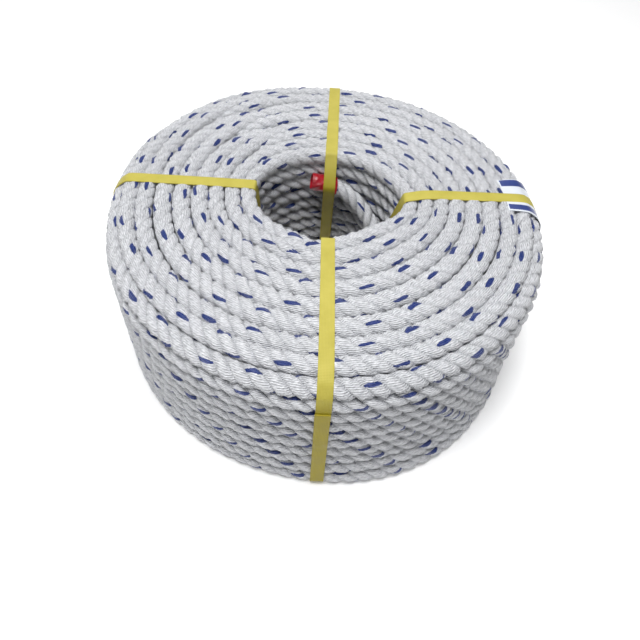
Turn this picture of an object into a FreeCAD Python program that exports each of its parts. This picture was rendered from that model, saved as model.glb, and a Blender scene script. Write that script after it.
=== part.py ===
import FreeCAD, Part
import math
import os

# A tied coil of three-strand laid rope, lying flat with its axis upright.
# The origin is the middle of the base, +Z is up and -Y is the front.
# All lengths are in millimetres and all angles in degrees, counted
# anticlockwise from +X as seen from above.

V = FreeCAD.Vector

# Rope and coil
rope_diameter = 8.0
turn_gap = 0.45          # between neighbouring turns of the winding
bore_radius = 32.0
outer_radius = 102.5
rim_height = 82.0        # top of the coil beside the bore
edge_height = 79.0       # where the top, carried on, would meet the wall
shoulder_radius = 16.0   # rounding between the top and the wall
lay_clearance = 0.05     # between a piece and what it lies on

# Inner end of the rope, standing off the wall of the bore. It runs
# clockwise from the tape down to the foot of the bore and moves out
# there to become the lowest turn of the wall.
end_angle = 107.0        # cut end, under the tape
end_drop = 16.0          # from the rim down to the cut end's middle
end_height = rim_height - end_drop
end_stand_off = 0.95     # from the wall of the bore to the rope's side
foot_angle = -95.0       # where it is down and begins to move out
merge_sweep = 75.0       # angle that it takes to move out
join_sweep = 36.0        # angle after the foot where the winding takes over

# Tape on the inner end
tape_length = 13.0
tape_thickness = 0.3

# Straps
strap_width = 6.0
strap_thickness = 0.6
strap_lap_length = 22.0       # doubled stretch, where the ends are welded
strap_lap_top = 63.0          # height of the upper end of that stretch
groove_clearance = 0.2        # beside a strap where it beds into the base
strap_angles = {"left": 178.5, "right": 5.5, "back": 90.5, "front": -87.7}

# Label
label_angle = 6.6             # middle of the label
label_width = 26.0            # round the coil
label_inner_radius = 84.5     # its edge on the top of the coil
label_bottom = 38.0           # height of its edge on the wall
label_thickness = 0.3

rope_radius = rope_diameter / 2
turn_pitch = rope_diameter + turn_gap
top_slope = (rim_height - edge_height) / (outer_radius - bore_radius)
top_tilt = math.atan(top_slope)
inner_turn_radius = bore_radius + rope_radius
inner_end_radius = bore_radius - end_stand_off - rope_radius
lowest_turn_height = strap_thickness + lay_clearance + rope_radius
taped_radius = rope_radius + lay_clearance + tape_thickness
label_rise = lay_clearance + label_thickness


def top_height(radius, depth):
    """Height of the line that lies this deep below the coil's top."""
    return rim_height - top_slope * (radius - bore_radius) - depth / math.cos(top_tilt)


def rounded_outline(corners, radii):
    """Closed wire through the corners, each rounded by its radius."""
    edges = []
    last_end = None
    first_start = None
    count = len(corners)
    for index in range(count):
        corner = corners[index]
        before = (corners[index - 1] - corner).normalize()
        after = (corners[(index + 1) % count] - corner).normalize()
        half = before.getAngle(after) / 2
        reach = radii[index] / math.tan(half)
        start = corner + before * reach
        end = corner + after * reach
        if last_end is not None:
            edges.append(Part.LineSegment(last_end, start).toShape())
        else:
            first_start = start
        if radii[index] > 0:
            inward = (before + after).normalize()
            middle = corner + inward * (radii[index] / math.sin(half) - radii[index])
            edges.append(Part.Arc(start, middle, end).toShape())
        last_end = end
    edges.append(Part.LineSegment(last_end, first_start).toShape())
    return Part.Wire(edges)


def biarc(start, start_way, end, end_way):
    """Two arcs that leave start and reach end along the given ways."""
    chord = end - start
    ways = start_way + end_way
    turn = 2 * (1 - start_way.dot(end_way))
    along = chord.dot(ways)
    reach = (math.sqrt(along ** 2 + turn * chord.dot(chord)) - along) / turn
    first_corner = start + start_way * reach
    last_corner = end - end_way * reach
    joint = (first_corner + last_corner) * 0.5
    return [arc_past(start, first_corner, joint), arc_past(joint, last_corner, end)]


def arc_past(start, corner, end):
    """Arc from start to end whose tangents meet at the corner."""
    half_chord = (end - start) * 0.5
    middle = start + half_chord
    to_corner = corner - middle
    half_turn = math.atan2(to_corner.Length, half_chord.Length)
    rise = half_chord.Length * math.tan(half_turn / 2)
    return Part.Arc(start, middle + to_corner.normalize() * rise, end).toShape()


def way_along(route, place, step):
    """Unit vector along a route, seen the way that the step goes."""
    return (route(place + step) - route(place - step)).normalize()


def route_edges(route, first, last, spans):
    """Arcs along a route from one place on it to another."""
    places = [first + (last - first) * index / spans for index in range(spans + 1)]
    points = [route(place) for place in places]
    ways = [way_along(route, place, (last - first) * 1e-5) for place in places]
    edges = []
    for index in range(spans):
        edges += biarc(points[index], ways[index], points[index + 1], ways[index + 1])
    return edges


def tube(edges, radius):
    """Round tube along edges that run on from each other."""
    start = edges[0].valueAt(edges[0].FirstParameter)
    way = edges[0].tangentAt(edges[0].FirstParameter)
    ring = Part.Wire([Part.makeCircle(radius, start, way)])
    return Part.Wire(edges).makePipeShell([ring], True, False)


# The winding goes up the wall of the bore, over the rim, out along the top,
# round the shoulder and down the outer wall. One turn spans the rim.
rim_sweep = math.pi / 2 + top_tilt
rim_path_radius = turn_pitch / (2 * math.sin(rim_sweep / 2))
rim_centre_radius = inner_turn_radius + rim_path_radius
rim_centre_height = top_height(rim_centre_radius, rope_radius + rim_path_radius)
shoulder_sweep = math.pi / 2 - top_tilt
shoulder_path_radius = shoulder_radius - rope_radius
shoulder_centre_radius = outer_radius - shoulder_radius
shoulder_centre_height = top_height(shoulder_centre_radius, shoulder_radius)
shoulder_pitch = 2 * shoulder_path_radius * math.asin(turn_pitch / (2 * shoulder_path_radius))
top_start = rim_centre_radius + rim_path_radius * math.sin(top_tilt)
top_end = shoulder_centre_radius + shoulder_path_radius * math.sin(top_tilt)

bore_turns = (rim_centre_height - lowest_turn_height) / turn_pitch
rim_turns = 1.0
top_turns = (top_end - top_start) / math.cos(top_tilt) / turn_pitch
shoulder_turns = shoulder_path_radius * shoulder_sweep / shoulder_pitch
wall_turns = (shoulder_centre_height - lowest_turn_height) / turn_pitch
winding_turns = bore_turns + rim_turns + top_turns + shoulder_turns + wall_turns
inner_end_turns = (end_angle - foot_angle) / 360


def winding_section(turns):
    """Radius and height of the winding's centreline after so many turns."""
    if turns < bore_turns:
        return inner_turn_radius, lowest_turn_height + turns * turn_pitch
    turns -= bore_turns
    if turns < rim_turns:
        angle = math.pi - rim_sweep * turns / rim_turns
        return (rim_centre_radius + rim_path_radius * math.cos(angle),
                rim_centre_height + rim_path_radius * math.sin(angle))
    turns -= rim_turns
    if turns < top_turns:
        radius = top_start + turns * turn_pitch * math.cos(top_tilt)
        return radius, top_height(radius, rope_radius)
    turns -= top_turns
    if turns < shoulder_turns:
        angle = shoulder_sweep * (1 - turns / shoulder_turns)
        return (shoulder_centre_radius + shoulder_path_radius * math.cos(angle),
                shoulder_centre_height + shoulder_path_radius * math.sin(angle))
    turns -= shoulder_turns
    return outer_radius - rope_radius, shoulder_centre_height - turns * turn_pitch


def smooth_step(share):
    """Rises from 0 to 1 with level ends."""
    share = min(1.0, max(0.0, share))
    return share * share * (3 - 2 * share)


def rope_route(turns):
    """Point on the rope's centreline, so many turns after the foot of the bore.

    Turns below 0 are the inner end's way down from the tape.
    """
    radius, height = winding_section(max(turns, 0.0))
    left = 1 - smooth_step(turns * 360 / merge_sweep)
    radius -= (inner_turn_radius - inner_end_radius) * left
    height += (end_height - lowest_turn_height) * smooth_step(-turns / inner_end_turns)
    angle = math.radians(foot_angle) - 2 * math.pi * turns
    return V(radius * math.cos(angle), radius * math.sin(angle), height)


def least_gap():
    """Least clear space between two stretches of rope half a turn apart."""
    steps = 60
    first = -int(inner_end_turns * steps)
    last = int(winding_turns * steps)
    points = [rope_route(index / steps) for index in range(first, last)]
    least = outer_radius
    for index, point in enumerate(points):
        for other in points[index + steps // 2:index + steps * 5 // 2]:
            least = min(least, point.distanceToPoint(other))
    return least - rope_diameter


def join():
    """Point and way where the inner end meets the winding's straight run."""
    place = join_sweep / 360
    way = way_along(rope_route, place, 1e-5)
    return rope_route(place) - way * rope_diameter, way


def rope_winding():
    """The turns up the bore, over the top and down the wall, in one tube."""
    spans = 4 * math.ceil(winding_turns)
    edges = route_edges(rope_route, join_sweep / 360, winding_turns, spans)
    start, way = join()
    edges.insert(0, Part.LineSegment(start, start + way * rope_diameter).toShape())
    last = rope_route(winding_turns)
    onward = way_along(rope_route, winding_turns, 1e-5) * rope_diameter
    edges.append(Part.LineSegment(last, last + onward).toShape())
    solid = tube(edges, rope_radius)
    length = sum(edge.Length for edge in edges)
    share = solid.Volume / (math.pi * rope_radius ** 2 * length)
    print("winding turns", round(winding_turns, 2), "length", round(length))
    print("winding volume over section times length", round(share, 4))
    print("winding least gap", round(least_gap(), 3))
    return solid


def strap_bottom_groove(angle):
    """Slot in the base that one strap lies in."""
    width = strap_width + 2 * groove_clearance
    depth = strap_thickness + lay_clearance
    corner = V(bore_radius - rope_diameter, -width / 2, -depth)
    slot = Part.makeBox(outer_radius, width, 2 * depth, corner)
    slot.rotate(V(0, 0, 0), V(0, 0, 1), angle)
    return slot


def rope_core():
    """The hidden turns and the underside, as one plain ring."""
    depth = rope_diameter + lay_clearance
    inner = bore_radius + depth
    outer = outer_radius - depth
    corners = [
        V(inner, 0, 0),
        V(outer, 0, 0),
        V(outer, 0, top_height(outer, depth)),
        V(inner, 0, top_height(inner, depth)),
    ]
    rim = rim_path_radius - rope_radius - lay_clearance
    outline = rounded_outline(corners, [0, 0, shoulder_radius - depth, rim])
    ring = Part.Face(outline).revolve(V(0, 0, 0), V(0, 0, 1), 360)
    for angle in strap_angles.values():
        ring = ring.cut(strap_bottom_groove(angle))
    return ring


def rope_inner_end():
    """Inner end of the rope, from the tape down to where the winding starts."""
    last = -join_sweep / 360 / 4
    edges = route_edges(rope_route, -inner_end_turns, last, 6)
    end, way = join()
    before = way_along(rope_route, last, 1e-5)
    edges += biarc(rope_route(last), before, end, way)
    print("inner end length", round(sum(edge.Length for edge in edges), 1))
    print("inner end least radius", round(min(edge.Curve.Radius for edge in edges), 1))
    return tube(edges, rope_radius)


def inner_end_tape():
    """Band of tape wound round the rope's inner end."""
    place = -inner_end_turns
    walked = 0.0
    while walked < tape_length:
        walked += rope_route(place).distanceToPoint(rope_route(place + 1e-4))
        place += 1e-4
    edges = route_edges(rope_route, -inner_end_turns, place, 1)
    return tube(edges, taped_radius).cut(tube(edges, rope_radius + lay_clearance))


def corner_round(centre, radius, before, after):
    """Corner whose two lines, from before and to after, touch a circle."""
    corner = centre - V(radius, 0, 0)
    for _ in range(8):
        to_before = (before - corner).normalize()
        to_after = (after - corner).normalize()
        inward = (to_before + to_after).normalize()
        corner = centre - inward * (radius / math.sin(inward.getAngle(to_before)))
    return corner


def strap_faces():
    """Distances of a strap's inner face from the axis, in and out."""
    half = strap_width / 2
    inner = math.sqrt(bore_radius ** 2 - half ** 2) - lay_clearance
    return inner, outer_radius + lay_clearance


def strap_outline(thickness, lift, taped_place):
    """Outline of a strap's loop, grown by a thickness and lifted on top."""
    inner, outer = strap_faces()
    inner -= thickness
    outer += lift + thickness
    rise = lay_clearance + lift + thickness
    foot = strap_thickness - thickness
    corners = [
        V(inner, 0, foot),
        V(outer, 0, foot),
        V(outer, 0, top_height(outer, -rise)),
        V(inner, 0, top_height(inner, -rise)),
    ]
    radii = [
        rope_radius + lay_clearance + thickness,
        rope_radius + lay_clearance + thickness,
        shoulder_radius + rise,
        rim_path_radius + rope_radius + rise,
    ]
    if taped_place is not None:
        radius = taped_radius + lay_clearance + thickness
        corners.append(corner_round(taped_place, radius, corners[3], corners[0]))
        radii.append(radius)
    return rounded_outline(corners, radii)


def strap_body(outline):
    """A flat outline in the XZ plane as wide as the strap."""
    face = Part.Face(outline)
    face.translate(V(0, -strap_width / 2, 0))
    return face.extrude(V(0, strap_width, 0))


def strap_lap(lift):
    """Second thickness, where the strap's ends are welded together."""
    outer = strap_faces()[1] + lift + strap_thickness
    low = strap_lap_top - strap_lap_length
    corners = [
        V(outer, 0, low),
        V(outer + strap_thickness, 0, low + strap_thickness),
        V(outer + strap_thickness, 0, strap_lap_top),
        V(outer, 0, strap_lap_top),
    ]
    return strap_body(rounded_outline(corners, [0, 0, 0, 0]))


def taped_rope_place(angle):
    """Middle of the taped rope where a strap at this angle crosses it."""
    point = rope_route((foot_angle - angle) / 360)
    return V(math.hypot(point.x, point.y), 0, point.z)


def strap(side):
    """One strap, tied round the coil through its bore."""
    lift = label_rise if side == "right" else 0.0
    taped_place = taped_rope_place(strap_angles[side]) if side == "back" else None
    outside = strap_body(strap_outline(strap_thickness, lift, taped_place))
    inside = strap_body(strap_outline(0.0, lift, taped_place))
    band = outside.cut(inside).fuse(strap_lap(lift)).removeSplitter()
    band.rotate(V(0, 0, 0), V(0, 0, 1), strap_angles[side])
    return band


def label_outline(depth):
    """Outline of a slice of the coil that reaches up to the label."""
    edge = outer_radius + depth
    corners = [
        V(label_inner_radius, 0, label_bottom),
        V(edge, 0, label_bottom),
        V(edge, 0, top_height(edge, -depth)),
        V(label_inner_radius, 0, top_height(label_inner_radius, -depth)),
    ]
    return rounded_outline(corners, [0, 0, shoulder_radius + depth, 0])


def label():
    """Paper label bent over the shoulder, under the right strap."""
    sweep = math.degrees(label_width / (outer_radius - shoulder_radius))
    outside = Part.Face(label_outline(label_rise))
    inside = Part.Face(label_outline(lay_clearance))
    sheet = outside.cut(inside).Faces[0].revolve(V(0, 0, 0), V(0, 0, 1), sweep)
    sheet.rotate(V(0, 0, 0), V(0, 0, 1), label_angle - sweep / 2)
    return sheet


def write(name, shape):
    """Save one piece as a solid and print its size."""
    solid = shape.Solids[0]
    print(name, "solids", len(shape.Solids), "valid", solid.isValid(),
          "volume", round(solid.Volume, 1))
    solid.exportStep("parts/" + name + ".step")


os.makedirs("parts", exist_ok=True)
write("rope_core", rope_core())
write("rope_winding", rope_winding())
write("rope_inner_end", rope_inner_end())
write("inner_end_tape", inner_end_tape())
for side in strap_angles:
    write("strap_" + side, strap(side))
write("label", label())
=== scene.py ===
import math

import bpy
import numpy as np
from mathutils import Matrix, Vector


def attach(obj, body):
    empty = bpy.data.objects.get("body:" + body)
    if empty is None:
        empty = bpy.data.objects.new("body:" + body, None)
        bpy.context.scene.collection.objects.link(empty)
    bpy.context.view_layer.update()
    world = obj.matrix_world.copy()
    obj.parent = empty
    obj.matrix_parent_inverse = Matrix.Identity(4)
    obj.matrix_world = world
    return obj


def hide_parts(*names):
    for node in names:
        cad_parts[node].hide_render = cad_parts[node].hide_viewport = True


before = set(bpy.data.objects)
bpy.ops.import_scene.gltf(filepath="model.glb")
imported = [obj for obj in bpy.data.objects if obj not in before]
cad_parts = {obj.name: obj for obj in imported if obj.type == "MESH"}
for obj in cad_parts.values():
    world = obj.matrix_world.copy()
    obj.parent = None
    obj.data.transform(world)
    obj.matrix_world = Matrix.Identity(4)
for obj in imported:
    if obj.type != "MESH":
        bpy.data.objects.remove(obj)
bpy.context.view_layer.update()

# A tied coil of three-strand laid rope, lying flat with its axis upright.
# Lengths are in metres and angles in degrees, counted anticlockwise from +X
# as seen from above. The rope runs clockwise from its taped inner end.

mm = 0.001

# Rope
rope_diameter = 8.0 * mm
rope_radius = rope_diameter / 2
lay_length = 21.0 * mm        # along the rope for one turn of a strand
yarns_round_strand = 9
groove_shade_start = 0.68     # where the painted groove shade begins, from a strand's crest, as a share of what shows of it
tracer_spacing = 7.4 * mm     # along the traced strand, from one blue dash to the next
tracer_scatter = 0.12         # share of that spacing within which each dash is shifted
tracer_length = 8.4 * mm
tracer_width = 1.9 * mm
tracer_width_range = (0.75, 1.25)    # share of that width, from dash to dash
tracer_soft_edge = 0.2        # in millimetres
tracer_tilt = 6.0             # of a dash against the rope's line
fine_step = 1.9 * mm          # along the rope between sections where it shows
coarse_step = 5.2 * mm        # and where it doesn't

# Coil, as its solids have it
bore_radius = 32.0 * mm
outer_radius = 102.5 * mm
rim_height = 82.0 * mm
edge_height = 79.0 * mm
shoulder_radius = 14.0 * mm
lay_clearance = 0.05 * mm
end_angle = 107.0
end_height = 66.0 * mm
foot_angle = -95.0
merge_sweep = 75.0

# Layers of turns, wound up and down by turns
layer_count = 9
turns_in_layer = 10
wall_row_pitch = 7.5 * mm
ring_offsets = [offset * mm for offset in (0, 7.3, 14.9, 22.7, 31.0, 39.5, 47.8, 55.0)]
points_per_turn = 24
first_zone_end = -135.0       # where the first layer climbs from turn to turn
zone_end = 98.0 - 360.0       # where the other layers do
zone_sweep = 62.0
climb_share = 0.62            # of that sweep, taken by one climb
end_share = 0.92              # of the last turn, where the rope's outer end is tucked in
tuck_share = 0.09             # of that turn, over which it sinks
tuck_in = 4.0 * mm
tuck_down = 4.5 * mm

# How the soft turns have given way. Each place round the coil is the angle of
# its middle and its reach to either side.
rim_pinch = 4.2 * mm          # the rim turns lean in by this at the front and the back
rim_spread = 1.5 * mm         # and out by this at the sides
rim_dent = 4.0 * mm           # they lean in by this more at the front right
rim_dent_place = (-45, 48)
rim_bay = 2.0 * mm            # and out by this more under the right strap
rim_bay_place = (6, 36)
rim_drop = 3.0 * mm           # where they also lie this much lower
rim_drop_place = (6, 60)
back_bulge = 5.5 * mm
back_bulge_place = (137, 52)
foot_bulge = 3.6 * mm
foot_bulge_place = (-62, 46)
unevenness = 0.34 * mm        # of a hand-laid turn

# How the turns are squeezed, from the wall to the top and, on the top, from
# the side that keeps most relief to the side that is pressed most
least_pressed = 215.0
press_least = 0.05 * mm       # taken off the top
press_most = 0.35 * mm
press_softness = 0.28 * mm    # over which a turn's crown goes over into the flat top
wall_squareness = 2.3         # power of a turn's outline, 2 where it is round
top_squareness = 4.6
crown_least = 0.0             # how far the grooves are ironed out of a turn's crown
crown_most = 0.62
crown_breadth = 1.4           # above 1, a crown reaches further round its turn
edge_ironing = 0.66           # and out of its edges on the top
turn_fill = 0.985             # a turn's width as a share of the space it has
bend_spread = 0.8             # how far a turn spreads over a bend of the coil's skin

# Straps, tape and label
strap_angles = {"strap_left": 178.5, "strap_right": 5.5, "strap_back": 90.5, "strap_front": -87.7}
strap_width = 6.0 * mm
strap_thickness = 0.6 * mm
strap_lap_length = 22.0 * mm
strap_lap_top = 63.0 * mm
strap_skin = 0.1 * mm         # between the strap and the turns it spans
strap_lap_rise = 7.0 * mm     # over which the upper end climbs onto the lower
strap_lap_gap = 0.04 * mm
strap_edge = 0.12 * mm        # rounding of its edges
strap_sway = 0.25 * mm        # to either side of a straight line
strap_sway_run = 34.0 * mm    # along the strap for each radian of its sway
strap_sheen_height = 64.0 * mm    # from here up the straps are painted paler, a painted sheen of light from above
strap_sheen_run = 12.0 * mm    # and this much higher the painted sheen is strongest
emboss_pitch = 1.1            # of the straps' weave, in millimetres
tape_length = 13.0 * mm
tape_thickness = 0.2 * mm
tape_turns = 1.35
tape_reach = 1.08             # of its first turn, in rope radii
tape_spiral = 0.045           # how much further out it ends
tape_overhang = 1.8 * mm      # past the cut end
tape_pinch = 3.5 * mm         # over which it closes on the cut end
tape_closed_reach = 0.62      # share of its radius that is left there
tape_creases = 9
tape_crumple = 0.026          # height of one crease, in rope radii
label_angle = 6.6
label_width = 26.0 * mm
label_inner_radius = 84.5 * mm
label_bottom = 38.0 * mm
label_thickness = 0.25 * mm   # the room that it takes under the strap
paper_thickness = label_thickness * 0.8
label_lift = 0.7 * mm         # of its long edges
label_ripple = 0.15 * mm
label_margin = 0.012          # bare share of its length at either end
near_bar = (0.135, 0.085)     # middle and half width of each bar, across the label
far_bar = (0.89, 0.095)


# The coil's skin: the line of its outermost turns, from the wall's foot to the rim

top_slope = (rim_height - edge_height) / (outer_radius - bore_radius)
top_tilt = math.atan(top_slope)
inner_turn_radius = bore_radius + rope_radius
outer_turn_radius = outer_radius - rope_radius
base_height = strap_thickness + lay_clearance
lowest_turn_height = base_height + rope_radius


def top_height(radius, depth):
    """Height of the line that lies this deep below the coil's top."""
    return rim_height - top_slope * (radius - bore_radius) - depth / math.cos(top_tilt)


shoulder_sweep = math.pi / 2 - top_tilt
shoulder_path_radius = shoulder_radius - rope_radius
shoulder_centre_radius = outer_radius - shoulder_radius
shoulder_centre_height = top_height(shoulder_centre_radius, shoulder_radius)
top_end = shoulder_centre_radius + shoulder_path_radius * math.sin(top_tilt)
wall_run = shoulder_centre_height - lowest_turn_height
shoulder_run = shoulder_path_radius * shoulder_sweep
top_run = (top_end - inner_turn_radius) / math.cos(top_tilt)
skin_run = wall_run + shoulder_run + top_run
highest_turn_height = top_height(inner_turn_radius, rope_radius)


def skin_place(run):
    """Radius and height so far along the outermost turns, from the wall's foot."""
    if run < wall_run:
        return outer_turn_radius, lowest_turn_height + run
    run -= wall_run
    if run < shoulder_run:
        angle = run / shoulder_path_radius
        return (shoulder_centre_radius + shoulder_path_radius * math.cos(angle),
                shoulder_centre_height + shoulder_path_radius * math.sin(angle))
    radius = top_end - (run - shoulder_run) * math.cos(top_tilt)
    return radius, top_height(radius, rope_radius)


def skin_facing(run):
    """Which way the coil's skin faces there, in radians up from level."""
    angle = (run - wall_run) / shoulder_path_radius
    return min(max(angle, 0.0), shoulder_sweep)


def skin_bend(run):
    """How sharply the skin bends there, as one turn's width sees it, per metre."""
    return (skin_facing(run + rope_radius) - skin_facing(run - rope_radius)) / rope_diameter


def smooth_step(share):
    """Rises from 0 to 1 with level ends."""
    share = min(1.0, max(0.0, share))
    return share * share * (3 - 2 * share)


def mix(first, last, share):
    return first + (last - first) * share


def bell(angle, middle, reach):
    """1 in the middle and 0 from reach degrees away on."""
    away = abs((angle - middle + 180) % 360 - 180) / reach
    return smooth_step(1 - away)


# Places of the turns, layer by layer

last_layer = layer_count - 1
last_row = turns_in_layer - 1
turn_offsets = ring_offsets + [skin_run - last_row * wall_row_pitch]


def turn_place(layer, row):
    """A turn's radius, height, facing, spacing and bend, its row counted up from the base."""
    if layer == last_layer:
        run = row * wall_row_pitch
        return np.array([*skin_place(run), skin_facing(run), wall_row_pitch, skin_bend(run)])
    run = skin_run - ring_offsets[layer]
    top_radius, top = skin_place(run)
    height = mix(lowest_turn_height, top, row / last_row)
    if layer == 0:
        turned = smooth_step(row - last_row + 1)
        return np.array([inner_turn_radius, height, turned * skin_facing(run),
                         mix(rope_diameter, ring_offsets[1], turned), 0.0])
    low_radius = mix(inner_turn_radius, outer_turn_radius, layer / last_layer)
    radius = mix(low_radius, top_radius, (row / last_row) ** 3)
    spacing = (turn_offsets[layer + 1] - turn_offsets[layer - 1]) / 2
    return np.array([radius, height, skin_facing(run), spacing, skin_bend(run)])


def row_of(layer, turn):
    """Row of a layer's turn: even layers are wound upwards."""
    return turn if layer % 2 == 0 else last_row - turn


def layer_place(layer, turn, share):
    """Place in a layer at a share of one turn, which ends in the climb."""
    zone = zone_sweep / 360
    into = (share - 1 + zone) / zone
    if turn < last_row:
        late = (1 - climb_share) * (1 - turn / last_row)
        climbed = smooth_step((into - late) / climb_share)
        return turn_place(layer, mix(row_of(layer, turn), row_of(layer, turn + 1), climbed))
    here = turn_place(layer, row_of(layer, turn))
    if layer == last_layer:
        return here
    return mix(here, turn_place(layer + 1, row_of(layer + 1, 0)), smooth_step(into))


def rim_shift(angle, height):
    """How far the bore's turns stand out from a round bore."""
    sideways = 0.5 + 0.5 * math.cos(2 * math.radians(angle))
    shift = mix(-rim_pinch, rim_spread, sideways)
    shift -= rim_dent * bell(angle, *rim_dent_place)
    shift += rim_bay * bell(angle, *rim_bay_place)
    rise = (height - lowest_turn_height) / (highest_turn_height - lowest_turn_height)
    return shift * rise ** 2


shapes = np.random.default_rng(4)
wander_phase = shapes.uniform(0, 2 * math.pi, (layer_count * turns_in_layer + 2, 2, 3))


def wander(turns, axis):
    """How far a turn strays from its line, in radius (axis 0) or height (axis 1)."""
    whole = int(turns)
    part = turns - whole
    value = 0.0
    for which, weight in ((whole, 1 - smooth_step(part)), (whole + 1, smooth_step(part))):
        phases = wander_phase[which, axis]
        angle = 2 * math.pi * turns
        value += weight * sum(math.sin(angle * (k + 2) + phases[k]) / (k + 2) for k in range(3))
    return unevenness * value


def shown_share(layer, turn):
    """1 where a turn shows from outside, 0 where others cover it."""
    rows = (row_of(layer, turn), row_of(layer, min(turn + 1, last_row)))
    at_skin = layer in (0, last_layer) or 0 in rows or last_row in rows
    return 1.0 if at_skin else 0.0


def inner_end_place(angle):
    """The rope's inner end comes down the bore and joins the first turn at its foot."""
    down = smooth_step((end_angle - angle) / (end_angle - foot_angle))
    height = mix(end_height, lowest_turn_height, down)
    joined = smooth_step((foot_angle - angle) / merge_sweep)
    radius = inner_turn_radius + rim_shift(angle, height) - rope_diameter * (1 - joined)
    return np.array([radius, height, 0.0, rope_diameter, 0.0])


def laid_place(layer, turn, share, angle):
    """A turn's place with the coil's bulges, its pinched bore and its unevenness."""
    place = layer_place(layer, turn, share)
    radius, height, facing, spacing, bend = place
    outward = (radius - inner_turn_radius) / (outer_turn_radius - inner_turn_radius)
    shift = rim_shift(angle, height)
    radius += shift * (1 - outward) + back_bulge * outward * bell(angle, *back_bulge_place)
    rise = max(0.0, (height - lowest_turn_height) / (highest_turn_height - lowest_turn_height))
    near_rim = max(0.0, 1 - 5 * outward) * rise ** 3
    height -= rim_drop * bell(angle, *rim_drop_place) * near_rim
    if layer == last_layer:
        low = max(0.0, 1 - turn / 2)
        radius += foot_bulge * low * bell(angle, *foot_bulge_place)
        if turn == last_row:
            sunk = smooth_step((share - end_share + tuck_share) / tuck_share)
            radius -= tuck_in * sunk
            height -= tuck_down * sunk
    turns = layer * turns_in_layer + turn + share
    radius += wander(turns, 0)
    lift = wander(turns, 1)
    height += abs(lift) if height < lowest_turn_height + 1 * mm else lift
    stretch = shift / (outer_turn_radius - inner_turn_radius) * math.sin(facing) ** 2
    return np.array([radius, height, facing, spacing * (1 - stretch), bend])


# The rope's line, from its inner end to its outer end

def rope_points():
    """Control points of the whole rope's line, with its facing, spacing and what shows."""
    points = []
    lies = []
    step = 360 / points_per_turn
    # a smooth line runs this much nearer to the axis than its control points
    cut_inside = 1 / (0.75 + 0.25 * math.cos(math.radians(step)))

    def add(place, angle, seen):
        radius, height, facing, spacing, bend = place
        radius *= cut_inside
        angle = math.radians(angle)
        points.append(Vector((radius * math.cos(angle), radius * math.sin(angle), height)))
        lies.append((facing, spacing, bend, seen))

    count = round((end_angle - first_zone_end) / step)
    for index in range(count):
        angle = mix(end_angle, first_zone_end, index / count)
        add(inner_end_place(angle), angle, 1.0)
    start = first_zone_end
    for layer in range(layer_count):
        sweep = 360.0
        if layer == 1:
            sweep += ((first_zone_end - zone_end) % 360) / turns_in_layer
        for turn in range(turns_in_layer):
            seen = shown_share(layer, turn)
            last_turn = layer == last_layer and turn == last_row
            for index in range(points_per_turn):
                share = index / points_per_turn
                if last_turn and share > end_share:
                    break
                angle = start - sweep * share
                place = laid_place(layer, turn, share, angle)
                if layer == 0 and turn == 0 and angle > foot_angle - merge_sweep:
                    place[0] = inner_end_place(angle)[0]
                add(place, angle, seen)
            start -= sweep
    return points, np.array(lies)


def line_through(points):
    """Points on one smooth curve with these control points."""
    curve = bpy.data.curves.new("rope_line", "CURVE")
    curve.dimensions = "3D"
    curve.resolution_u = 4
    spline = curve.splines.new("NURBS")
    spline.points.add(len(points) - 1)
    for place, point in zip(points, spline.points):
        point.co = (*place, 1.0)
    spline.order_u = 3
    spline.use_endpoint_u = True
    bare = bpy.data.objects.new("rope_line", curve)
    mesh = bpy.data.meshes.new_from_object(bare)
    line = np.array([vertex.co for vertex in mesh.vertices])
    bpy.data.meshes.remove(mesh)
    bpy.data.objects.remove(bare)
    bpy.data.curves.remove(curve)
    return line


control_points, control_lies = rope_points()
rope_line = line_through(control_points)
steps = np.linalg.norm(np.diff(rope_line, axis=0), axis=1)
rope_along = np.concatenate([[0.0], np.cumsum(steps)])
rope_length = float(rope_along[-1])

control_share = np.linspace(0, 1, len(control_lies))
line_share = np.linspace(0, 1, len(rope_line))
line_facing, line_spacing, line_bend, line_shown = [
    np.interp(line_share, control_share, control_lies[:, k]) for k in range(4)]
line_way = np.gradient(rope_line, axis=0)
line_way /= np.linalg.norm(line_way, axis=1)[:, None]


def along_rope(values, places):
    """A value of the rope's line at these distances along it."""
    if values.ndim == 1:
        return np.interp(places, rope_along, values)
    return np.stack([np.interp(places, rope_along, values[:, k]) for k in range(3)], -1)


def stations():
    """Distances along the rope, close together where it shows."""
    places = [0.0]
    while places[-1] < rope_length:
        seen = along_rope(line_shown, places[-1])
        places.append(places[-1] + (fine_step if seen > 0.02 else coarse_step))
    places[-1] = rope_length
    return np.array(places)


# The rope's surface, squeezed between its neighbours

def pressure(points):
    """0 where the top is pressed least and 1 where it is pressed most."""
    azimuth = np.arctan2(points[:, 1], points[:, 0])
    return 0.5 - 0.5 * np.cos(azimuth - math.radians(least_pressed))


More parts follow.
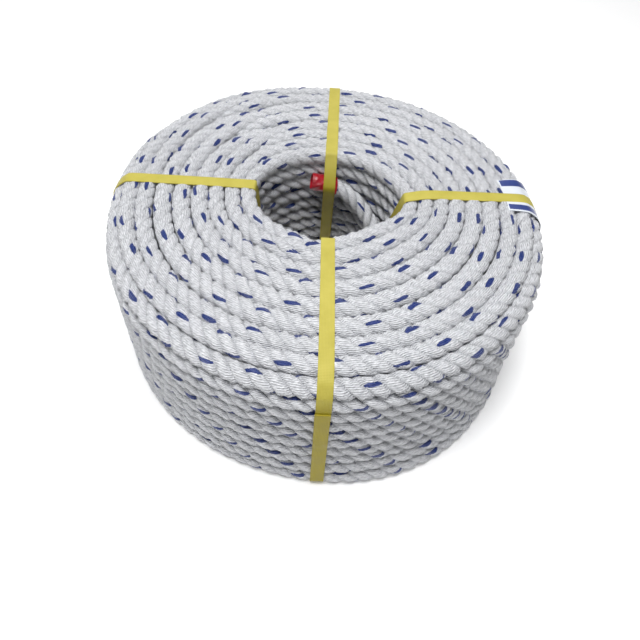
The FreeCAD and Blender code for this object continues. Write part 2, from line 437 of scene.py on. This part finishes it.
def rope_surface(places, angles, reach):
    """Points on the rope's squeezed surface, by distance, angle round it and reach."""
    places = np.clip(places, 0, rope_length)
    at = along_rope(rope_line, places)
    way = along_rope(line_way, places)
    out = np.cross((0.0, 0.0, 1.0), way)
    out /= np.linalg.norm(out, axis=1)[:, None]
    up = np.cross(way, out)
    facing = along_rope(line_facing, places)
    half_spacing = along_rope(line_spacing, places) / 2
    bend = along_rope(line_bend, places)
    round_it = angles - facing
    pressed = np.sin(facing)
    power = mix(wall_squareness, top_squareness, pressed)
    ahead, beside = np.cos(round_it), np.sin(round_it)
    fullness = (np.abs(ahead) ** power + np.abs(beside) ** power) ** (-1 / power)
    ironing = mix(crown_least, crown_most, pressure(at))
    ironed = ironing * pressed * np.clip(crown_breadth * ahead, 0, 1)
    squeezed = edge_ironing * pressed * beside ** 2
    reach = 1 + (reach - 1) * (1 - np.maximum(ironed, squeezed))
    forward = ahead * fullness * reach * rope_radius
    sideways = beside * fullness * reach * half_spacing * turn_fill
    sideways *= 1 + bend_spread * bend * np.maximum(forward, 0)
    outward = forward * np.cos(facing) - sideways * np.sin(facing)
    upward = forward * np.sin(facing) + sideways * np.cos(facing)
    return at + outward[:, None] * out + upward[:, None] * up


def press_flat(points):
    """Presses the points down to the coil's flat top and up from its base."""
    radius = np.hypot(points[:, 0], points[:, 1])
    ceiling = top_height(radius, mix(press_least, press_most, pressure(points)))
    over = (points[:, 2] - ceiling) / press_softness
    points[:, 2] -= press_softness * np.logaddexp(0.0, over)
    points[:, 2] = np.maximum(points[:, 2], base_height)
    return points


# Strands. A section square across a strand has six points on the outside of
# the rope, from groove to groove, and one near the rope's axis. Reaches are
# shares of the rope's radius.

groove_reach = 0.68
flank_reach = 0.93
crest_reach = 1.03
core_reach = 0.1
strand_axis_reach = 0.55
shown_girth = 0.26            # share of a strand's girth from its crest to a groove
section_share = np.array([-1.0, -0.66, -0.22, 0.22, 0.66, 1.0])
section_reach = np.array([groove_reach, flank_reach, crest_reach,
                          crest_reach, flank_reach, groove_reach])
crest_slope = 2 * math.pi * rope_radius / lay_length
crest_angle = math.atan(crest_slope)
groove_angle = math.radians(60.5)
section_angle = section_share * groove_angle / (1 + crest_slope ** 2)
section_ahead = -section_angle * crest_slope * rope_radius
section_around = shown_girth * section_share
strand_run = math.hypot(lay_length, 2 * math.pi * strand_axis_reach * rope_radius)
strand_stretch = strand_run / lay_length
crest_stretch = math.hypot(1.0, crest_slope) / strand_stretch
half_strand_width = rope_radius * groove_angle / math.hypot(1.0, crest_slope)
strand_girth = half_strand_width / shown_girth
yarn_twist = strand_girth / (crest_stretch * crest_slope)


def mesh_piece(name, vertices, faces, material, uv, sharp):
    """A piece of the object from its vertices and faces, smooth but for its sharp edges."""
    mesh = bpy.data.meshes.new(name)
    mesh.from_pydata(vertices, [], faces)
    layer = mesh.uv_layers.new(name="UVMap")
    layer.data.foreach_set("uv", uv.astype(np.float32).ravel())
    mesh.polygons.foreach_set("use_smooth", [True] * len(mesh.polygons))
    ends = np.empty(2 * len(mesh.edges), dtype=np.int32)
    mesh.edges.foreach_get("vertices", ends)
    crease = sharp(*ends.reshape(-1, 2).T)
    mesh.attributes.new("sharp_edge", "BOOLEAN", "EDGE").data.foreach_set("value", crease)
    piece = bpy.data.objects.new(name, mesh)
    bpy.context.scene.collection.objects.link(piece)
    mesh.materials.append(material)
    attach(piece, "root")
    return piece


def strand(name, number, material):
    """One of the rope's three strands, from end to end."""
    places = stations()
    turn = 2 * math.pi * (places / lay_length + number / 3)
    rings = [rope_surface(places + ahead, turn + angle, reach)
             for ahead, angle, reach in zip(section_ahead, section_angle, section_reach)]
    rings.append(rope_surface(places, turn + math.pi, core_reach))
    sides = len(rings)
    count = len(places)
    vertices = press_flat(np.stack(rings, 1).reshape(-1, 3))
    ring = np.arange(count - 1)[:, None] * sides
    here = np.arange(sides)[None, :]
    onward = (here + 1) % sides
    faces = np.stack([ring + here, ring + onward, ring + sides + onward, ring + sides + here], 2)
    along = places * strand_stretch / mm
    around = np.append(section_around, 0.5)
    next_around = np.append(around[1:], around[0] + 1)
    uv = np.zeros((count - 1, sides, 4, 2))
    uv[:, :, 0, 0] = uv[:, :, 1, 0] = along[:-1, None]
    uv[:, :, 2, 0] = uv[:, :, 3, 0] = along[1:, None]
    uv[:, :, 0, 1] = uv[:, :, 3, 1] = around
    uv[:, :, 1, 1] = uv[:, :, 2, 1] = next_around
    face_list = faces.reshape(-1, 4).tolist()
    face_list.append(list(range(sides))[::-1])
    face_list.append([(count - 1) * sides + k for k in range(sides)])
    uv = np.concatenate([uv.reshape(-1, 2), np.zeros((2 * sides, 2))])

    def groove_edge(first, second):
        """Whether an edge between two points runs along a groove."""
        return (first % sides == second % sides) & np.isin(first % sides, (0, sides - 2))

    return mesh_piece(name, vertices.tolist(), face_list, material, uv, groove_edge)


# Materials

class Shade:
    """A value in a material's node tree, with its arithmetic as nodes."""

    def __init__(self, tree, socket):
        self.tree = tree
        self.socket = socket

    def math(self, operation, *others, clamp=False):
        return node(self.tree, "ShaderNodeMath", {"operation": operation, "use_clamp": clamp},
                    [self, *others])

    def __add__(self, other):
        return self.math("ADD", other)

    def __sub__(self, other):
        return self.math("SUBTRACT", other)

    def __rsub__(self, other):
        return node(self.tree, "ShaderNodeMath", {"operation": "SUBTRACT"}, [other, self])

    def __mul__(self, other):
        return self.math("MULTIPLY", other)

    def __truediv__(self, other):
        return self.math("DIVIDE", other)

    def clamped(self):
        """The value, kept between 0 and 1."""
        return self.math("MULTIPLY", 1.0, clamp=True)

    def within(self, middle, reach):
        """1 where the value is nearer to the middle than this, otherwise 0."""
        return (self - middle).math("ABSOLUTE").math("LESS_THAN", reach)


def node(tree, kind, settings, values=(), output=0):
    """Adds a node with its settings and the values or links of its inputs."""
    made = tree.nodes.new(kind)
    for name, value in settings.items():
        setattr(made, name, value)
    pairs = values.items() if isinstance(values, dict) else enumerate(values)
    for key, value in pairs:
        socket = made.inputs[key]
        if isinstance(value, Shade):
            tree.links.new(value.socket, socket)
        else:
            socket.default_value = value
    return Shade(tree, made.outputs[output])


def new_material(name, settings):
    """A Principled material whose constants are set on its own sockets."""
    material = bpy.data.materials.new(name)
    material.use_nodes = True
    tree = material.node_tree
    shader = tree.nodes["Principled BSDF"]
    for key, value in settings.items():
        shader.inputs[key].default_value = value
    return material, tree, shader


def mixed(tree, factor, first, second):
    """Colour between two colours."""
    made = tree.nodes.new("ShaderNodeMix")
    made.data_type = "RGBA"
    for socket, value in zip((made.inputs[0], made.inputs[6], made.inputs[7]),
                             (factor, first, second)):
        if isinstance(value, Shade):
            tree.links.new(value.socket, socket)
        elif socket.type == "RGBA":
            socket.default_value = (*value, 1.0)
        else:
            socket.default_value = value
    return Shade(tree, made.outputs[2])


def uv_parts(tree):
    """The two numbers of a piece's own UV map."""
    uv = node(tree, "ShaderNodeUVMap", {"uv_map": "UVMap"})
    return [node(tree, "ShaderNodeSeparateXYZ", {}, [uv], output) for output in (0, 1)]


def noise(tree, place, scale, detail, **more):
    """Cloudy noise over a place, between 0 and 1."""
    values = {"Vector": place, "Scale": scale, "Detail": detail}
    values.update(more)
    return node(tree, "ShaderNodeTexNoise", {}, values)


def flat_noise(tree, across, up, detail, **more):
    """Noise over two numbers of a surface."""
    place = node(tree, "ShaderNodeCombineXYZ", {}, [across, up, 0.0])
    values = {"Vector": place, "Scale": 1.0, "Detail": detail}
    values.update(more)
    return node(tree, "ShaderNodeTexNoise", {"noise_dimensions": "2D"}, values)


def object_place(tree):
    """The place on the object, in metres."""
    return node(tree, "ShaderNodeTexCoord", {}, (), 3)


def feed(tree, shader, key, value):
    """Links a value to one of a shader's inputs."""
    tree.links.new(value.socket, shader.inputs[key])


def feed_bump(tree, shader, height, strength, distance):
    """Roughens a shader's surface by a height, its distance in metres."""
    bump = node(tree, "ShaderNodeBump", {}, {"Strength": strength, "Distance": distance,
                                             "Height": height})
    feed(tree, shader, "Normal", bump)


def tracer_mask(tree, along, around):
    """1 on the blue dashes, where a tracer yarn comes to the traced strand's crest."""
    count = along / (tracer_spacing / mm)
    which = count.math("FLOOR")
    chance = node(tree, "ShaderNodeTexWhiteNoise", {"noise_dimensions": "1D"}, {"W": which})
    apart = count.math("FRACT") - 0.5 + (chance - 0.5) * tracer_scatter
    apart = apart * (tracer_spacing / mm)
    length_way = apart * crest_stretch
    width_way = around * (strand_girth / mm)
    tilted = crest_angle + math.radians(tracer_tilt)
    with_rope = length_way * math.cos(tilted) - width_way * math.sin(tilted)
    across_rope = length_way * math.sin(tilted) + width_way * math.cos(tilted)
    ratio = with_rope / (tracer_length / mm / 2)
    squared = ratio * ratio
    slimmest, widest = tracer_width_range
    widened = chance * (widest - slimmest) + slimmest
    half_width = (1 - squared * squared) * (widened * (tracer_width / mm / 2))
    return ((half_width - across_rope.math("ABSOLUTE")) / tracer_soft_edge).clamped()


def rope_material(name, traced):
    """White yarns with a soft gloss, and in one strand blue tracer yarns."""
    material, tree, shader = new_material(name, {"IOR": 1.49, "Specular IOR Level": 0.7,
                                                 "Sheen Weight": 0.08, "Sheen Roughness": 0.4})
    shaded_yarn = (0.40, 0.41, 0.44)
    bright_yarn = (0.84, 0.85, 0.88)
    worn_yarn = (0.70, 0.70, 0.70)
    painted_groove_shade = (0.28, 0.29, 0.32)
    tracer_blue = (0.006, 0.026, 0.17)
    along, around = uv_parts(tree)
    counted = (around + along / (yarn_twist / mm)) * yarns_round_strand
    yarn = (counted * math.pi).math("SINE").math("ABSOLUTE")
    fibre = flat_noise(tree, along * 0.8, counted * 2.2, 3.0, Roughness=0.6)
    fleck = flat_noise(tree, along * 1.3, counted * 1.1, 1.0)
    cloud = noise(tree, object_place(tree), 60.0, 2.0)
    # Partly painted shade: the yarns are darker in the dips between one yarn and the next and
    # where the fibre and fleck noise sink, as the bump does; the rest is tone that differs at
    # random.
    tone = yarn * 0.5 + fibre * 0.8 + fleck * 1.3 - 0.95
    colour = mixed(tree, tone, shaded_yarn, bright_yarn)
    colour = mixed(tree, cloud * 0.2, colour, worn_yarn)
    # Painted shade: the yarns are greyed towards each strand's grooves, where shade falls between
    # the strands.
    from_crest = around.math("ABSOLUTE") / shown_girth
    groove = ((from_crest - groove_shade_start) / (1 - groove_shade_start)).clamped()
    colour = mixed(tree, groove * 0.2, colour, painted_groove_shade)
    if traced:
        colour = mixed(tree, tracer_mask(tree, along, around), colour, tracer_blue)
    feed(tree, shader, "Base Color", colour)
    feed(tree, shader, "Roughness", fibre * 0.4 + 0.12)
    feed_bump(tree, shader, yarn * 0.7 + fibre * 0.7 + fleck * 0.9, 1.0, 0.45 * mm)
    return material


plain_rope = rope_material("rope_yarn", False)
traced_rope = rope_material("rope_traced_yarn", True)
strands = [strand("rope_strand_1", 0, traced_rope),
           strand("rope_strand_2", 1, plain_rope),
           strand("rope_strand_3", 2, plain_rope)]
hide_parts("rope_core", "rope_winding", "rope_inner_end")


# Straps, wrapped tight round the coil's turns

taped_reach = 0.17            # what the tape adds to the rope's radius, as a share of it
line_turns = np.unwrap(np.arctan2(rope_line[:, 1], rope_line[:, 0])) / (2 * math.pi)


def cut_sections(angle, skin):
    """Points round every turn that a cut through the coil's axis meets at this angle."""
    phase = line_turns - angle / 360
    met = np.flatnonzero(np.floor(phase[:-1]) != np.floor(phase[1:]))
    share = (phase[met] - np.floor(phase[met])) / (phase[met] - phase[met + 1])
    places = rope_along[met] + share * (rope_along[met + 1] - rope_along[met])
    round_it = np.radians(np.arange(0, 360, 10))
    taped = np.where(places < tape_length + 1 * mm, taped_reach, 0.0)
    reach = crest_reach + skin / rope_radius + taped
    points = rope_surface(np.repeat(places, len(round_it)), np.tile(round_it, len(places)),
                          np.repeat(reach, len(round_it)))
    points = press_flat(points)
    return np.stack([np.hypot(points[:, 0], points[:, 1]), points[:, 2]], 1)


def tight_outline(points):
    """The outline that a taut band takes round these points, anticlockwise."""
    points = sorted(map(tuple, points))

    def half(row):
        """The lower side of the outline, or the upper one for points in reverse."""
        kept = []
        for point in row:
            while len(kept) > 1:
                ahead = (kept[-1][0] - kept[-2][0]) * (point[1] - kept[-2][1])
                beside = (kept[-1][1] - kept[-2][1]) * (point[0] - kept[-2][0])
                if ahead - beside > 1e-12:
                    break
                kept.pop()
            kept.append(point)
        return kept[:-1]

    return np.array(half(points) + half(points[::-1]))


def band_path(angle, start_height, skin):
    """A taut band's line round the coil from this height on the wall, up and over."""
    outline = tight_outline(cut_sections(angle, skin))
    closed = np.vstack([outline, outline[:1]])
    wall = [k for k in range(len(outline))
            if closed[k][0] > 0.9 * outer_radius
            and closed[k][1] <= start_height < closed[k + 1][1]][0]
    share = (start_height - closed[wall][1]) / (closed[wall + 1][1] - closed[wall][1])
    start = mix(closed[wall], closed[wall + 1], share)
    return np.vstack([[start], np.roll(outline, -(wall + 1), axis=0), [start]])


def spaced(path, distances):
    """Points, and outward directions, at these distances along a path."""
    along = np.concatenate([[0.0], np.cumsum(np.linalg.norm(np.diff(path, axis=0), axis=1))])
    distances = np.asarray(distances)

    def at(where):
        where = np.mod(where, along[-1])
        return np.stack([np.interp(where, along, path[:, k]) for k in range(2)], -1)

    way = at(distances + 0.5 * mm) - at(distances - 0.5 * mm)
    way /= np.linalg.norm(way, axis=-1)[..., None]
    outward = np.stack([way[..., 1], -way[..., 0]], -1)
    return at(distances), outward


def path_length(path):
    return float(np.linalg.norm(np.diff(path, axis=0), axis=1).sum())


def flat_strip(name, along_count, across_count):
    """A flat strip one unit long and wide, cut into small squares."""
    bpy.ops.object.select_all(action="DESELECT")
    bpy.ops.mesh.primitive_grid_add(x_subdivisions=along_count, y_subdivisions=across_count,
                                    size=1.0, calc_uvs=True)
    strip = bpy.context.object
    strip.name = strip.data.name = name
    shares = np.empty(len(strip.data.vertices) * 3)
    strip.data.vertices.foreach_get("co", shares)
    return strip, shares.reshape(-1, 3)[:, :2] + 0.5


def finish_strip(strip, places, thickness, size, bevel, material):
    """Gives a wrapped strip its thickness, soft edges, real-size UVs and material."""
    strip.data.vertices.foreach_set("co", places.ravel())
    strip.data.uv_layers[0].name = "UVMap"
    layer = strip.data.uv_layers[0].data
    uv = np.empty(len(layer) * 2)
    layer.foreach_get("uv", uv)
    uv = uv.reshape(-1, 2) * np.array(size) / mm
    layer.foreach_set("uv", uv.ravel())
    wall = strip.modifiers.new("thickness", "SOLIDIFY")
    wall.thickness = thickness
    wall.offset = 1.0
    wall.use_even_offset = True
    bpy.ops.object.modifier_apply(modifier="thickness")
    if bevel:
        edge = strip.modifiers.new("edge", "BEVEL")
        edge.width = bevel
        edge.segments = 2
        edge.limit_method = "ANGLE"
        edge.angle_limit = math.radians(50)
        bpy.ops.object.modifier_apply(modifier="edge")
    bpy.ops.object.shade_smooth_by_angle(angle=math.radians(40))
    strip.data.materials.clear()
    strip.data.materials.append(material)
    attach(strip, "root")
    return strip


def strap(node_name, material):
    """A strap drawn tight round the coil, its end welded over its beginning."""
    angle = strap_angles[node_name]
    skin = strap_skin + (label_thickness if node_name == "strap_right" else 0.0)
    path = band_path(angle, strap_lap_top - strap_lap_length, skin)
    once = path_length(path)
    length = once + strap_lap_length
    strip, shares = flat_strip(node_name + "_band", 420, 4)
    distance = shares[:, 0] * length
    place, outward = spaced(path, distance)
    over = np.clip((distance - once + strap_lap_rise) / strap_lap_rise, 0, 1)
    lifted = (strap_thickness + strap_lap_gap) * over * over * (3 - 2 * over)
    place = place + outward * lifted[:, None]
    phase = shapes.uniform(0, 6.28)
    sway = strap_sway * np.sin(distance / strap_sway_run + phase)
    aside = (shares[:, 1] - 0.5) * strap_width + sway
    turned = math.radians(angle)
    level = np.array([math.cos(turned), math.sin(turned)])
    beside = np.array([-math.sin(turned), math.cos(turned)])
    places = np.column_stack([place[:, :1] * level + aside[:, None] * beside, place[:, 1]])
    piece = finish_strip(strip, places, strap_thickness, (length, strap_width), strap_edge,
                         material)
    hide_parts(node_name)


def strap_material():
    """Yellow plastic strapping with a fine woven embossing, painted paler higher up as a painted
    sheen of light from above.
    """
    material, tree, shader = new_material("strap_plastic",
                                          {"IOR": 1.45, "Specular IOR Level": 0.25})
    along, across = uv_parts(tree)
    first = ((along + across) * (2 * math.pi / emboss_pitch)).math("SINE")
    second = ((along - across) * (2 * math.pi / emboss_pitch)).math("SINE")
    emboss = first * second
    place = object_place(tree)
    cloud = noise(tree, place, 140.0, 3.0)
    height = node(tree, "ShaderNodeSeparateXYZ", {}, [place], 2)
    # Painted sheen: the yellow grows paler with height, standing in for light from above on the
    # straps' tops.
    painted_sheen = ((height - strap_sheen_height) / strap_sheen_run).clamped()
    mottle = cloud * 0.8 + emboss * 0.15
    deep_yellow = mixed(tree, mottle, (0.25, 0.20, 0.008), (0.36, 0.30, 0.020))
    sheen_yellow = mixed(tree, mottle, (0.37, 0.32, 0.045), (0.56, 0.49, 0.110))
    feed(tree, shader, "Base Color", mixed(tree, painted_sheen, deep_yellow, sheen_yellow))
    feed(tree, shader, "Roughness", cloud * 0.2 + 0.34)
    feed_bump(tree, shader, emboss, 0.45, 0.1 * mm)
    return material


strap_yellow = strap_material()
for strap_node in strap_angles:
    strap(strap_node, strap_yellow)


# Label, bent over the shoulder under the right strap

def label_line(angle):
    """The line that the label takes at this angle, and its length along it."""
    path = band_path(angle, label_bottom, lay_clearance)
    along = np.linspace(0, 0.6, 600) * path_length(path)
    there, _ = spaced(path, along)
    on_top = (there[:, 0] < label_inner_radius) & (there[:, 1] > 60 * mm)
    return path, along[np.flatnonzero(on_top)[0]]


def label(material):
    """A stiff paper label that lies on the turns and lifts a little at its edges."""
    strip, shares = flat_strip("label_sheet", 44, 24)
    half_angle = math.degrees(label_width / 2 / outer_radius)
    lines = {}
    places = []
    for length_share, width_share in shares:
        column = round(float(width_share), 4)
        angle = label_angle + half_angle * (2 * column - 1)
        if column not in lines:
            lines[column] = label_line(angle)
        path, reach = lines[column]
        there, outward = spaced(path, [length_share * reach])
        from_strap = abs(angle - strap_angles["strap_right"]) / half_angle
        bowed = math.sin(math.pi * length_share) ** 0.5
        lift = label_lift * smooth_step((from_strap - 0.25) / 0.9) * bowed
        lift += label_ripple * math.sin(9 * length_share + 5 * column)
        radius, height = there[0] + outward[0] * max(lift, 0.0)
        turned = math.radians(angle)
        places.append((radius * math.cos(turned), radius * math.sin(turned), height))
    unit_size = (1.0 * mm, 1.0 * mm)
    piece = finish_strip(strip, np.array(places), paper_thickness, unit_size, 0.0,
                         material)
    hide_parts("label")


def label_material():
    """White coated paper with a plain blue bar along each long edge."""
    material, tree, shader = new_material("label_paper", {
        "Roughness": 0.3, "IOR": 1.5, "Coat Weight": 0.3, "Coat Roughness": 0.12})
    along, across = uv_parts(tree)
    bars = across.within(*near_bar) + across.within(*far_bar)
    cloud = noise(tree, object_place(tree), 200.0, 3.0)
    paper = mixed(tree, cloud, (0.56, 0.60, 0.66), (0.72, 0.75, 0.80))
    ink = mixed(tree, cloud, (0.022, 0.038, 0.15), (0.036, 0.062, 0.24))
    inside = along.within(0.5, 0.5 - label_margin)
    feed(tree, shader, "Base Color", mixed(tree, bars * inside, paper, ink))
    feed_bump(tree, shader, cloud, 0.2, 0.2 * mm)
    return material


label(label_material())


# Tape, wound round the rope's inner end

def tape(material):
    """Red tape wound over the rope's cut end, pinched and crumpled."""
    strip, shares = flat_strip("inner_end_wrap", 40, 72)
    round_it = shares[:, 1] * tape_turns * 2 * math.pi
    distance = shares[:, 0] * tape_length - tape_overhang
    wrinkle = np.zeros(len(shares))
    for _ in range(tape_creases):
        way = shapes.uniform(-1.0, 1.0, 2)
        phase = shapes.uniform(0, 6.28)
        waves_round = np.round(3 + 5 * way[1])
        wrinkle += np.sin(distance / mm * 1.1 * way[0] + waves_round * round_it + phase)
    reach = tape_reach + tape_spiral * shares[:, 1] + tape_crumple * wrinkle
    pinch = np.clip(1 + distance / tape_pinch, 0, 1)
    reach *= mix(tape_closed_reach, 1.0, np.sqrt(pinch))
    at = along_rope(rope_line, np.maximum(distance, 0))
    way = along_rope(line_way, np.zeros(len(shares)))
    out = np.cross((0.0, 0.0, 1.0), way)
    out /= np.linalg.norm(out, axis=1)[:, None]
    up = np.cross(way, out)
    at = at + way * np.minimum(distance, 0)[:, None]
    places = (at + (np.cos(round_it) * reach * rope_radius)[:, None] * out
              + (np.sin(round_it) * reach * rope_radius)[:, None] * up)
    unrolled_size = (tape_length, 30 * mm)
    piece = finish_strip(strip, places, tape_thickness, unrolled_size, 0.0, material)
    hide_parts("inner_end_tape")
    return piece


def tape_material():
    """Glossy red tape with fine creases."""
    material, tree, shader = new_material("tape_plastic", {
        "Roughness": 0.32, "IOR": 1.45, "Coat Weight": 0.25, "Coat Roughness": 0.2})
    crease = noise(tree, object_place(tree), 420.0, 3.0, Distortion=0.8)
    # Painted shade: the red is darker where the crease noise is low, in the hollows of the
    # creases that the bump makes.
    colour = mixed(tree, crease, (0.17, 0.003, 0.008), (0.44, 0.010, 0.022))
    feed(tree, shader, "Base Color", colour)
    feed_bump(tree, shader, crease, 0.6, 0.5 * mm)
    return material


tape_piece = tape(tape_material())

strands[1:] + [tape_piece]


# Floor, light and camera

bpy.ops.object.select_all(action="DESELECT")
bpy.ops.mesh.primitive_plane_add(size=6.0, location=(0, 0, 0))
floor = bpy.context.object
floor.name = "floor"
floor_paint = new_material("floor_paint", {
    "Base Color": (0.93, 0.93, 0.93, 1.0), "Roughness": 0.8,
    "Emission Color": (1.0, 1.0, 1.0, 1.0), "Emission Strength": 0.08})[0]
floor.data.materials.append(floor_paint)

world = bpy.data.worlds.new("studio")
bpy.context.scene.world = world
world.use_nodes = True
background = world.node_tree.nodes["Background"]
background.inputs["Color"].default_value = (0.97, 0.98, 1.0, 1.0)
background.inputs["Strength"].default_value = 0.16
bpy.context.scene.view_settings.view_transform = "Standard"


def lamp(name, place, target, size, power):
    """A square soft light that faces its target, its size in metres and power in watts."""
    data = bpy.data.lights.new(name, "AREA")
    data.size = size
    data.energy = power
    light = bpy.data.objects.new(name, data)
    bpy.context.scene.collection.objects.link(light)
    light.location = place
    light.rotation_euler = (Vector(target) - Vector(place)).to_track_quat("-Z", "Y").to_euler()


lamp("key", (-0.07, -0.14, 0.95), (0, 0, 0.04), 0.40, 9.8)
lamp("front", (-0.10, -1.0, 0.45), (0, 0, 0.04), 0.2, 1.8)
lamp("back", (0.0, 0.85, 0.90), (0, 0, 0.06), 0.7, 4.2)

camera_data = bpy.data.cameras.new("camera")
camera = bpy.data.objects.new("camera", camera_data)
bpy.context.scene.collection.objects.link(camera)
bpy.context.scene.camera = camera
camera_place = Vector((0.0, -0.20364, 0.25874))
camera_target = Vector((0.0, -0.00059, 0.03986))
camera_roll = 4.41
facing = (camera_target - camera_place).to_track_quat("-Z", "Y").to_matrix().to_4x4()
roll = Matrix.Rotation(math.radians(camera_roll), 4, "Z")
camera.matrix_world = Matrix.Translation(camera_place) @ facing @ roll
camera_data.sensor_width = 36.0
camera_data.lens = 32.52
camera_data.shift_x = -0.0062
camera_data.shift_y = -0.1041
camera_data.clip_start = 0.01
